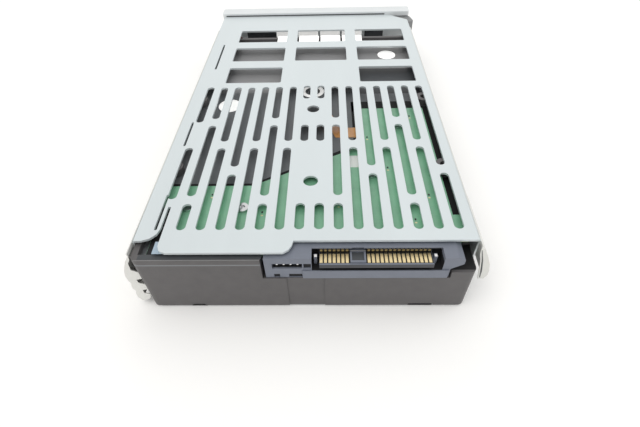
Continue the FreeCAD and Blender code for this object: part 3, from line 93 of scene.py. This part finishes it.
M = {
    "plate": material("plate_finish", (0.66, 0.715, 0.73), 0.4, 0.25, 0.025, 60, 0.05, 4000, (1, 0.15, 1)),
    "rail": material("rail_finish", (0.62, 0.66, 0.67), 0.34, 0.6, 0.05, 80, 0.06, 3500, (1, 0.1, 1)),
    "spring": material("spring_finish", (0.74, 0.74, 0.71), 0.42, 0.25, 0.05, 90, 0.05, 3500, (1, 0.1, 1)),
    "casting": material("casting_finish", (0.108, 0.103, 0.104), 0.5, 0.15, 0.09, 260, 0.22, 2600),
    "tooth": material("tooth_finish", (0.3, 0.24, 0.12), 0.4, 0.5, 0.1, 500, 0.06, 3000),
    "strip": material("strip_finish", (0.055, 0.06, 0.066), 0.5, 0.0, 0.08, 300, 0.06, 2500),
    "lacquer": material("lacquer_finish", (0.36, 0.45, 0.12), 0.4, 0.0, 0.08, 300, 0.05, 2500),
    # painted highlight: lighter grey for the highlight lines on the near rim and the key
    "edge": material("painted_highlight_finish", (0.3, 0.3, 0.3), 0.5, 0.0, 0.06, 300, 0.06, 2500),
    "print": material("print_finish", (0.1, 0.1, 0.105), 0.6, 0.0, 0.05, 200, 0.03, 2000),
    "cover": material("cover_finish", (0.52, 0.53, 0.54), 0.32, 0.9, 0.05, 40, 0.06, 3000, (1, 14, 1)),
    "label": material("label_finish", (0.86, 0.86, 0.84), 0.5, 0.0, 0.03, 200, 0.05, 2000),
    "rubber": material("rubber_finish", (0.02, 0.02, 0.02), 0.8, 0.0, 0.2, 400, 0.2, 2500),
    "screw": material("screw_finish", (0.62, 0.62, 0.63), 0.25, 1.0, 0.05, 400, 0.06, 3000),
    "alloy": material("alloy_finish", (0.72, 0.73, 0.74), 0.3, 0.95, 0.05, 300, 0.08, 3000),
    "magnet": material("magnet_finish", (0.4, 0.4, 0.42), 0.25, 0.9, 0.05, 300, 0.05, 3000),
    "core": material("core_finish", (0.25, 0.26, 0.3), 0.4, 0.8, 0.1, 300, 0.1, 3000, (1, 1, 12)),
    "copper": material("copper_finish", (0.55, 0.24, 0.1), 0.35, 0.9, 0.12, 500, 0.3, 5000, (1, 1, 8)),
    "disk": material("disk_finish", (0.82, 0.83, 0.85), 0.06, 1.0, 0.01, 100, 0.0, 2000, rough_spread=0.02),
    "ramp": material("ramp_finish", (0.75, 0.7, 0.55), 0.5, 0.0, 0.05, 300, 0.06, 2000),
    "black": material("black_finish", (0.008, 0.008, 0.009), 0.7, 0.0, 0.2, 400, 0.05, 2500),
    "white": material("white_finish", (0.85, 0.84, 0.83), 0.6, 0.0, 0.03, 300, 0.1, 1500),
    "felt": material("felt_finish", (0.85, 0.85, 0.83), 0.95, 0.0, 0.06, 900, 0.6, 5000),
    "chip": material("chip_finish", (0.03, 0.03, 0.033), 0.5, 0.0, 0.15, 700, 0.12, 4000),
    "plug": material("plug_finish", (0.175, 0.192, 0.235), 0.5, 0.0, 0.05, 220, 0.1, 2600),
    "gold": material("gold_finish", (0.86, 0.7, 0.4), 0.34, 0.7, 0.08, 500, 0.06, 3000),
    "flex": material("flex_finish", (0.8, 0.38, 0.13), 0.3, 0.0, 0.08, 400, 0.05, 2500, coat=0.4),
    "film": material("film_finish", (0.55, 0.68, 0.8), 0.25, 0.0, 0.03, 150, 0.04, 2000, transmission=0.35),
    "bezel": material("bezel_finish", (0.72, 0.75, 0.76), 0.42, 0.05, 0.03, 150, 0.08, 2500),
    "lever": material("lever_finish", (0.22, 0.225, 0.23), 0.45, 0.0, 0.08, 300, 0.12, 2500),
    "button": material("button_finish", (0.3, 0.02, 0.025), 0.4, 0.0, 0.08, 300, 0.08, 2500),
    "clear": material("clear_finish", (0.8, 0.84, 0.86), 0.12, 0.0, 0.02, 200, 0.03, 2000,
                      transmission=0.8),
}


def board_material():
    """Green solder mask with faint tracks and pads."""
    made = material("board_finish", (0.215, 0.49, 0.315), 0.38, 0.0, 0.12, 120, 0.05, 2500, coat=0.3)
    tree = made.node_tree
    shader = tree.nodes["Principled BSDF"]
    ramp = next(n for n in tree.nodes if n.type == "VALTORGB")
    place = next(n for n in tree.nodes if n.type == "TEX_COORD")
    tracks = tree.nodes.new("ShaderNodeTexBrick")
    tracks.inputs["Scale"].default_value = 190.0
    tracks.inputs["Mortar Size"].default_value = 0.012
    tracks.inputs["Color1"].default_value = (0, 0, 0, 1)
    tracks.inputs["Color2"].default_value = (0.25, 0.25, 0.25, 1)
    tracks.inputs["Mortar"].default_value = (1, 1, 1, 1)
    tree.links.new(place.outputs["Object"], tracks.inputs["Vector"])
    blend = tree.nodes.new("ShaderNodeMix")
    blend.data_type = "RGBA"
    blend.inputs["B"].default_value = (0.235, 0.51, 0.31, 1)
    strength = tree.nodes.new("ShaderNodeMath")
    strength.operation = "MULTIPLY"
    strength.inputs[1].default_value = 0.55
    tree.links.new(tracks.outputs["Color"], strength.inputs[0])
    tree.links.new(strength.outputs[0], blend.inputs["Factor"])
    tree.links.new(ramp.outputs["Color"], blend.inputs["A"])
    tree.links.new(blend.outputs["Result"], shader.inputs["Base Color"])
    return made


def patch(made, limits, colour):
    """Gives a finish another colour inside limits on height and place along the object, in millimetres."""
    tree = made.node_tree
    shader = tree.nodes["Principled BSDF"]
    before = shader.inputs["Base Color"].links[0].from_socket
    place = tree.nodes.new("ShaderNodeNewGeometry")
    split = tree.nodes.new("ShaderNodeSeparateXYZ")
    tree.links.new(place.outputs["Position"], split.inputs["Vector"])
    inside = None
    for axis, operation, value in limits:
        test = tree.nodes.new("ShaderNodeMath")
        test.operation = operation
        test.inputs[1].default_value = value * MM
        tree.links.new(split.outputs[axis], test.inputs[0])
        if inside:
            both = tree.nodes.new("ShaderNodeMath")
            both.operation = "MULTIPLY"
            tree.links.new(inside, both.inputs[0])
            tree.links.new(test.outputs[0], both.inputs[1])
            inside = both.outputs[0]
        else:
            inside = test.outputs[0]
    blend = tree.nodes.new("ShaderNodeMix")
    blend.data_type = "RGBA"
    blend.inputs["B"].default_value = (*colour, 1)
    tree.links.new(inside, blend.inputs["Factor"])
    tree.links.new(before, blend.inputs["A"])
    tree.links.new(blend.outputs["Result"], shader.inputs["Base Color"])


def glowing(made, strength):
    """Lets a finish shine a little by itself."""
    shader = made.node_tree.nodes["Principled BSDF"]
    shader.inputs["Emission Color"].default_value = (1.0, 0.99, 0.97, 1)
    shader.inputs["Emission Strength"].default_value = strength


M["board"] = board_material()
# painted light: the casting's deck is painted paler than the rest of the casting, and paler still towards
# the far end
PAINTED_LIGHT_DECK = (("Z", "GREATER_THAN", 22.6), ("Z", "LESS_THAN", 23.2))
patch(M["casting"], PAINTED_LIGHT_DECK, (0.195, 0.205, 0.215))
patch(M["casting"], PAINTED_LIGHT_DECK + (("Y", "GREATER_THAN", 3.0),), (0.27, 0.27, 0.275))
# painted shade: the connector housing's face at the near end is painted darker
patch(M["plug"], (("Y", "LESS_THAN", -91.95), ("Z", "GREATER_THAN", 20.5)), (0.05, 0.052, 0.06))
# painted light: the white finish of the guide caps and pin tips shines a little by itself
glowing(M["white"], 0.12)
# painted light: a white finish that shines by itself, used on the stickers, the ring over the motor, the
# panels behind the bezel's vents and the pads at the drive's end
M["glow_white"] = material("glow_white_finish", (0.86, 0.86, 0.85), 0.7, 0.0, 0.03, 300, 0.1, 1500)
glowing(M["glow_white"], 0.5)
FINISH = {
    "plate": ["carrier_plate"],
    "rail": ["side_rail_left", "side_rail_right", "bezel_grille"],
    "spring": ["spring_left", "spring_right", "button_spring", "suspensions"],
    "casting": ["base_casting", "motor_base"],
    "cover": ["top_cover"],
    "label": ["cover_label"],
    "glow_white": ["stickers"],
    "rubber": ["cover_gasket", "crash_stops"],
    "screw": ["cover_screws", "carrier_screws", "board_screws", "clamp_screws", "lever_pin",
              "spindle_shaft", "pivot_post", "latch_pin"],
    "alloy": ["spindle_hub", "disk_spacers", "disk_clamp", "pivot_sleeve", "actuator_block"],
    "magnet": ["rotor_magnet", "upper_magnet", "lower_magnet"],
    "core": ["stator_core", "upper_yoke", "lower_yoke", "yoke_posts"],
    "copper": ["stator_windings", "voice_coil"],
    "disk": ["disk_upper", "disk_middle", "disk_lower"],
    "ramp": ["load_ramp", "shipping_latch"],
    "felt": ["breather_filter", "recirculation_filter", "desiccant"],
    "chip": ["board_parts", "head_connector", "sliders"],
    "plug": ["connector_housing"],
    "gold": ["connector_contacts", "header_pins"],
    "flex": ["actuator_flex", "motor_flex"],
    "film": ["insulation_film"],
    "bezel": ["bezel_frame"],
    "lever": ["ejector_lever"],
    "button": ["release_button"],
    "clear": ["light_pipes"],
    "board": ["circuit_board"],
}
BEVELS = {"carrier_plate": 0.16, "side_rail_left": 0.1, "side_rail_right": 0.1, "base_casting": 0.2,
          "connector_housing": 0.16, "bezel_frame": 0.4, "ejector_lever": 0.4, "release_button": 0.4,
          "top_cover": 0.15, "circuit_board": 0.08, "spring_left": 0.05, "spring_right": 0.05,
          "connector_contacts": 0.05, "board_parts": 0.08, "header_pins": 0.05}
for finish, names in FINISH.items():
    for name in names:
        node = NODES[name]
        node.data.materials.clear()
        node.data.materials.append(M[finish])
for name, width in BEVELS.items():
    bevel = NODES[name].modifiers.new("soft_edges", "BEVEL")
    bevel.width = width * MM
    bevel.segments = 2
    bevel.limit_method = "ANGLE"
    bevel.angle_limit = math.radians(35)
    bevel.use_clamp_overlap = True
    bevel.harden_normals = False

# ---------------------------------------------------------------- pieces
def piece(name, build, finish, body="chassis"):
    """A mesh piece made by a bmesh function, with a finish, riding on a body."""
    mesh = bpy.data.meshes.new(name)
    shape = bmesh.new()
    build(shape)
    bmesh.ops.recalc_face_normals(shape, faces=shape.faces)
    shape.to_mesh(mesh)
    shape.free()
    made = bpy.data.objects.new(name, mesh)
    bpy.context.collection.objects.link(made)
    mesh.materials.append(M[finish])
    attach(made, body)
    return made


def cuboid(shape, low, high):
    """Adds a box between two corners."""
    centre = (low + high) / 2
    size = high - low
    matrix = Matrix.Translation(centre) @ Matrix.Diagonal((*size, 1))
    bmesh.ops.create_cube(shape, size=1, matrix=matrix)


def disc(shape, centre, radius, height, segments=32, turn=None):
    """Adds a short cylinder standing on centre."""
    matrix = Matrix.Translation(centre + Vector((0, 0, height / 2)))
    if turn:
        matrix = Matrix.Translation(centre) @ turn @ Matrix.Translation(Vector((0, 0, height / 2)))
    bmesh.ops.create_cone(shape, cap_ends=True, segments=segments, radius1=radius, radius2=radius,
                          depth=height, matrix=matrix)


def boxes(name, finish, corners, body="chassis", bevel=0.0):
    """One piece made of several boxes, each given by its low and high corner."""
    def build(shape):
        for low, high in corners:
            cuboid(shape, Vector(low), Vector(high))
    made = piece(name, build, finish, body)
    if bevel:
        edges = made.modifiers.new("soft_edges", "BEVEL")
        edges.width = bevel * MM
        edges.segments = 3
    return made


def flat(name, finish, points, low, high, body="chassis"):
    """One piece with a flat outline between two heights; points are drive X and Y."""
    def build(shape):
        bottom = [shape.verts.new(drive(x, y, low)) for x, y in points]
        top = [shape.verts.new(drive(x, y, high)) for x, y in points]
        shape.faces.new(bottom)
        shape.faces.new(top)
        for index in range(len(points)):
            following = (index + 1) % len(points)
            shape.faces.new((bottom[index], bottom[following], top[following], top[index]))
    return piece(name, build, finish, body)


def drive_box(x, y, z):
    """The corners of a box from three pairs of limits on the drive."""
    return drive(x[0], y[0], z[0]), drive(x[1], y[1], z[1])


def carrier_box(x, y, z):
    """The corners of a box from three pairs of limits on the carrier."""
    return carrier(x[0], y[0], z[0]), carrier(x[1], y[1], z[1])


# painted shade: black strips along the board's edges stand in for the shadow line where the board steps
# down to the deck
BOARD_SHADE_TOP = 22.93
BOARD_SHADE = {
    "board_shade_far_left": [(-46.8, 32.3), (-18.7, 32.3), (-18.9, 35.1), (-46.8, 35.1)],
    "board_shade_slope": [(-18.8, 32.3), (18.4, 53.1), (17.2, 56.3), (-19.2, 35.1)],
    "board_shade_rise": [(16.9, 53.6), (18.5, 53.2), (18.5, 60.8), (16.9, 60.8)],
    "board_shade_rise_far": [(16.9, 68.0), (18.5, 68.0), (18.5, 86.8), (16.9, 86.8)],
    "board_shade_far_right": [(16.9, 79.2), (46.4, 79.2), (46.4, 86.8), (16.9, 86.8)],
    "board_shade_right": [(46.0, 45.1), (48.8, 45.1), (48.8, 86.8), (46.0, 86.8)],
    "board_shade_right_near": [(46.0, 18.2), (48.8, 18.2), (48.8, 37.5), (46.0, 37.5)],
}
for name, outline in BOARD_SHADE.items():
    flat(name, "black", outline, 22.9, BOARD_SHADE_TOP)

# dark strip of painted shade along the near rim with a painted highlight on its edge, dark plates of
# painted shade in the notches, and painted shade in the dark pocket in the right corner
boxes("rim_shade", "strip", [drive_box((-48.6, -12.5), (0.5, 2.3), (25.1, 25.12))])
boxes("rim_highlight", "edge", [drive_box((-49.6, -12.9), (0.1, 0.24), (25.1, 25.115))])
boxes("notch_shade", "black", [drive_box((-38.3, -33.3), (0.42, 0.5), (0.1, 1.0)),
                                drive_box((32.8, 40.6), (0.42, 0.5), (0.1, 1.0))])
boxes("corner_shade", "black", [drive_box((43.4, 50.6), (1.0, 12.9), (19.0, 19.03)),
                                 drive_box((46.3, 50.6), (12.9, 12.98), (19.0, 22.8)),
                                 drive_box((43.4, 46.0), (8.5, 12.9), (19.0, 22.9))])

# insulation over the board's left end
boxes("board_cover", "black", [drive_box((-46.75, -42.6), (3.05, 22.5), (24.3, 24.32)),
                               drive_box((-46.8, -12.7), (2.98, 3.0), (23.1, 24.32)),
                               drive_box((-46.82, -46.8), (3.0, 22.5), (23.1, 24.32)),
                               drive_box((-46.75, -12.7), (3.0, 3.3), (24.3, 24.31))])

# painted shade: dark plates stand in for the shade inside the connector
CONTACT_PITCH = 1.27
CONTACTS = [4.805 + CONTACT_PITCH * k for k in range(7)] + [18.775 + CONTACT_PITCH * k for k in range(15)]
HEADER_PINS = (-8.27, -6.24, -4.21, -2.18)
boxes("pocket_shade", "black", [
    drive_box((2.05, 40.25), (0.3, 6.3), (19.9, 19.93)),
    drive_box((2.02, 2.05), (0.4, 6.3), (19.9, 23.6)),
    drive_box((40.25, 40.28), (0.4, 6.3), (19.9, 23.6)),
    drive_box((2.05, 4.28), (5.9, 6.36), (19.9, 23.68)),
    drive_box((37.55, 40.25), (5.9, 6.36), (19.9, 23.68)),
    drive_box((4.4, 13.28), (0.62, 6.35), (22.9, 22.915)),
    drive_box((17.92, 37.4), (0.62, 6.35), (22.9, 22.915)),
    drive_box((13.22, 13.3), (0.62, 4.3), (22.9, 23.5)),
    drive_box((17.9, 17.98), (0.62, 4.3), (22.9, 23.5)),
    drive_box((4.4, 13.2), (3.95, 4.25), (23.05, 23.065)),
    drive_box((18.1, 37.2), (3.95, 4.25), (23.05, 23.065)),
    drive_box((-9.6, -0.9), (4.7, 4.97), (20.75, 22.85)),
    drive_box((-9.6, -0.9), (1.0, 4.9), (20.7, 20.73)),
    drive_box((-9.38, -7.62), (0.75, 2.4), (16.45, 17.95)),
    drive_box((-4.88, -0.92), (0.75, 2.4), (16.45, 17.95)),
    drive_box((-0.35, 1.75), (0.9, 1.15), (20.85, 22.85)),
    drive_box((4.4, 13.2), (4.28, 4.395), (24.05, 24.85)),
    drive_box((18.1, 37.2), (4.28, 4.395), (24.05, 24.85)),
])
boxes("key_floor", "strip", [drive_box((13.85, 17.35), (1.25, 4.35), (23.2, 23.215))])
# painted highlight along the top edge of the key
boxes("key_highlight", "edge", [drive_box((13.35, 17.85), (4.25, 4.38), (23.9, 24.1))])
boxes("contact_roots", "tooth", [drive_box((x - 0.36, x + 0.36), (4.2, 4.28), (23.95, 24.7))
                                 for x in CONTACTS])
boxes("guide_posts", "plug", [drive_box((2.6, 3.6), (2.6, 4.0), (19.95, 23.2)),
                              drive_box((37.9, 38.9), (2.6, 4.0), (19.95, 23.2))], bevel=0.15)
boxes("guide_caps", "white", [drive_box((2.7, 3.5), (2.7, 3.6), (23.2, 23.3)),
                              drive_box((38.0, 38.8), (2.7, 3.6), (23.2, 23.3))])
boxes("pin_tips", "white", [drive_box((x - 0.26, x + 0.26), (1.05, 1.3), (21.64, 22.16))
                            for x in HEADER_PINS])

# board label, lacquer line and small parts that show through the slots
boxes("board_label", "label", [drive_box((14.7, 17.8), (41.7, 48.2), (24.3, 24.33))])
boxes("board_line", "lacquer", [drive_box((45.2, 48.7), (7.22, 8.1), (24.3, 24.32))])
boxes("board_end", "black", [drive_box((46.6, 48.78), (7.16, 7.2), (23.1, 24.3))])
SMALL_PARTS = [(-31.8, 26.8), (-14.2, 18.5), (4.1, 38.0), (10.3, 22.0), (22.0, 58.0), (28.1, 40.0),
               (34.2, 15.0), (40.2, 26.0), (40.0, 72.0)]
boxes("board_pads", "gold", [drive_box((x - 0.35, x + 0.35), (y - 0.2, y + 0.2), (24.3, 24.32))
                             for x, y in SMALL_PARTS])
boxes("board_resistors", "chip", [drive_box((x - 0.25, x + 0.25), (y + 1.0, y + 1.7), (24.3, 24.5))
                                  for x, y in SMALL_PARTS], bevel=0.05)

# white ring over the motor, which shines by itself as painted light, and a dark sheet by the far right
# window
def ring_face(shape):
    """A flat ring made of short wedges."""
    count = 40
    for index in range(count):
        corners = []
        for radius, step in ((3.3, 0), (5.1, 0), (5.1, 1), (3.3, 1)):
            angle = 2 * math.pi * (index + step) / count
            corners.append((0.3 + radius * math.cos(angle), 95.9 + radius * math.sin(angle)))
        shape.faces.new([shape.verts.new(drive(x, y, 22.94)) for x, y in corners])


piece("motor_ring", ring_face, "glow_white")
flat("far_sheet", "strip", [(21.5, 93.5), (48.0, 93.5), (48.0, 116.0), (21.5, 116.0)], 22.9, 22.92)

# painted light: white panels behind the vents of the bezel shine by themselves and stand in for daylight
# seen through the vents; white pads at the drive's end also shine by themselves as painted light
boxes("vent_glow_panels", "glow_white", [
    carrier_box((-23.0 + 12.7 * k + 0.1, -11.6 + 12.7 * k), (171.1, 172.6), (8.6, 19.9))
    for k in range(4)], bevel=0.5)
boxes("end_pads", "glow_white", [
    carrier_box((-19.3 + 11.2 * k, -9.1 + 11.2 * k), (138.6, 146.8), (25.15, 26.05))
    for k in range(4)], bevel=0.4)
boxes("bezel_shade", "strip", [carrier_box((-40.0, -23.2), (170.7, 170.88), (8.0, 24.0)),
                               carrier_box((28.2, 38.8), (170.7, 170.88), (8.0, 24.0)),
                               carrier_box((-50.5, 38.8), (170.8, 170.88), (26.95, 27.5))])

# painted shade: a dark ribbon stands in for the shadow in the gap between the two folds at the near end of
# the right leaf
GAP = [(51.2, 51.4, 24.3), (52.4, 52.8, 19.6), (52.95, 53.45, 16.6), (53.45, 53.95, 13.8),
       (53.9, 54.15, 10.7)]


def leaf_gap(shape):
    """A thin dark ribbon of painted shade that follows the fold."""
    rows = [[shape.verts.new(carrier(x, 3.97, z)) for x in (left, right)] for left, right, z in GAP]
    for upper, lower in zip(rows, rows[1:]):
        shape.faces.new((upper[0], upper[1], lower[1], lower[0]))


piece("leaf_gap", leaf_gap, "strip")

# rivets of the carrier, generic marks on the label below and ridges on the lever
def rivet_heads(shape):
    """Round heads that hold the leaves to the rails."""
    for y in (12.0, 46.0, 98.0, 134.0):
        for x, angle in ((-51.75, -90), (50.95, 90)):
            outward = Matrix.Rotation(math.radians(angle), 4, "Y")
            disc(shape, carrier(x, y, 24.9), 0.8 * MM, 0.25 * MM, 20, outward)


piece("rivets", rivet_heads, "rail")
PRINT_Z = (0.04, 0.05)
boxes("label_bars", "print", [
    drive_box((-34.0 + 2.1 * k, -33.1 + 0.5 * (k % 3) + 2.1 * k), (100.0, 108.0), PRINT_Z)
    for k in range(14)])
boxes("label_lines", "print", [
    drive_box((-34.0, 20.0 - 6 * (k % 3)), (60.0 + 5 * k, 61.2 + 5 * k), PRINT_Z) for k in range(6)])
boxes("label_square", "print", [drive_box((14.0, 26.0), (98.0, 110.0), PRINT_Z)])
boxes("grip_ridges", "lever", [
    carrier_box((-33.0 + 1.6 * k, -32.2 + 1.6 * k), (183.85, 183.95), (8.0, 20.4)) for k in range(3)],
      "lever")

# ---------------------------------------------------------------- stage, light and camera
def stage_mesh(name, size, finish):
    """A flat square on the stage."""
    mesh = bpy.data.meshes.new(name)
    shape = bmesh.new()
    bmesh.ops.create_grid(shape, x_segments=1, y_segments=1, size=size)
    shape.to_mesh(mesh)
    shape.free()
    made = bpy.data.objects.new(name, mesh)
    bpy.context.collection.objects.link(made)
    mesh.materials.append(finish)
    return made


floor_finish = material("floor_finish", (0.93, 0.925, 0.915), 0.9, 0.0, 0.008, 5, 0.01, 500)
glowing(floor_finish, 0.09)
stage_mesh("floor", 3.0, floor_finish)

world = bpy.data.worlds.new("studio")
bpy.context.scene.world = world
world.use_nodes = True
world.node_tree.nodes["Background"].inputs["Color"].default_value = (1.0, 0.995, 0.985, 1)
world.node_tree.nodes["Background"].inputs["Strength"].default_value = 0.76


def area(name, place, aim, size, power, colour=(1, 1, 1)):
    """A soft square lamp that looks at a point."""
    data = bpy.data.lights.new(name, "AREA")
    data.size = size
    data.energy = power
    data.color = colour
    lamp = bpy.data.objects.new(name, data)
    lamp.location = place
    lamp.rotation_euler = (Vector(aim) - Vector(place)).to_track_quat("-Z", "Y").to_euler()
    bpy.context.collection.objects.link(lamp)
    return lamp


area("key", (-0.35, -0.25, 0.8), (0, 0, 0), 0.7, 2.0, (1, 0.985, 0.96))
area("fill", (0.55, 0.1, 0.6), (0, 0, 0), 0.8, 1.2, (0.95, 0.98, 1))
area("back", (0.0, 0.8, 0.5), (0, 0, 0), 0.8, 0.8)

camera_data = bpy.data.cameras.new("camera")
camera_data.sensor_width = 36.0
camera_data.lens = 23.31
camera_data.clip_start = 0.005
camera = bpy.data.objects.new("camera", camera_data)
PITCH = math.radians(46.61)
YAW = math.radians(1.75)
ROLL = math.radians(1.654)
right = Vector((math.cos(YAW), math.sin(YAW), 0))
ahead = Vector((-math.sin(YAW), math.cos(YAW), 0))
forward = ahead * math.cos(PITCH) - Vector((0, 0, 1)) * math.sin(PITCH)
down = forward.cross(right)
image_right = right * math.cos(ROLL) + down * math.sin(ROLL)
image_down = down * math.cos(ROLL) - right * math.sin(ROLL)
turn = Matrix((image_right, -image_down, -forward)).transposed()
camera.matrix_world = Matrix.Translation(drive(7.099, -71.495, 120.287)) @ turn.to_4x4()
bpy.context.collection.objects.link(camera)
bpy.context.scene.camera = camera
bpy.context.scene.view_settings.view_transform = "Standard"
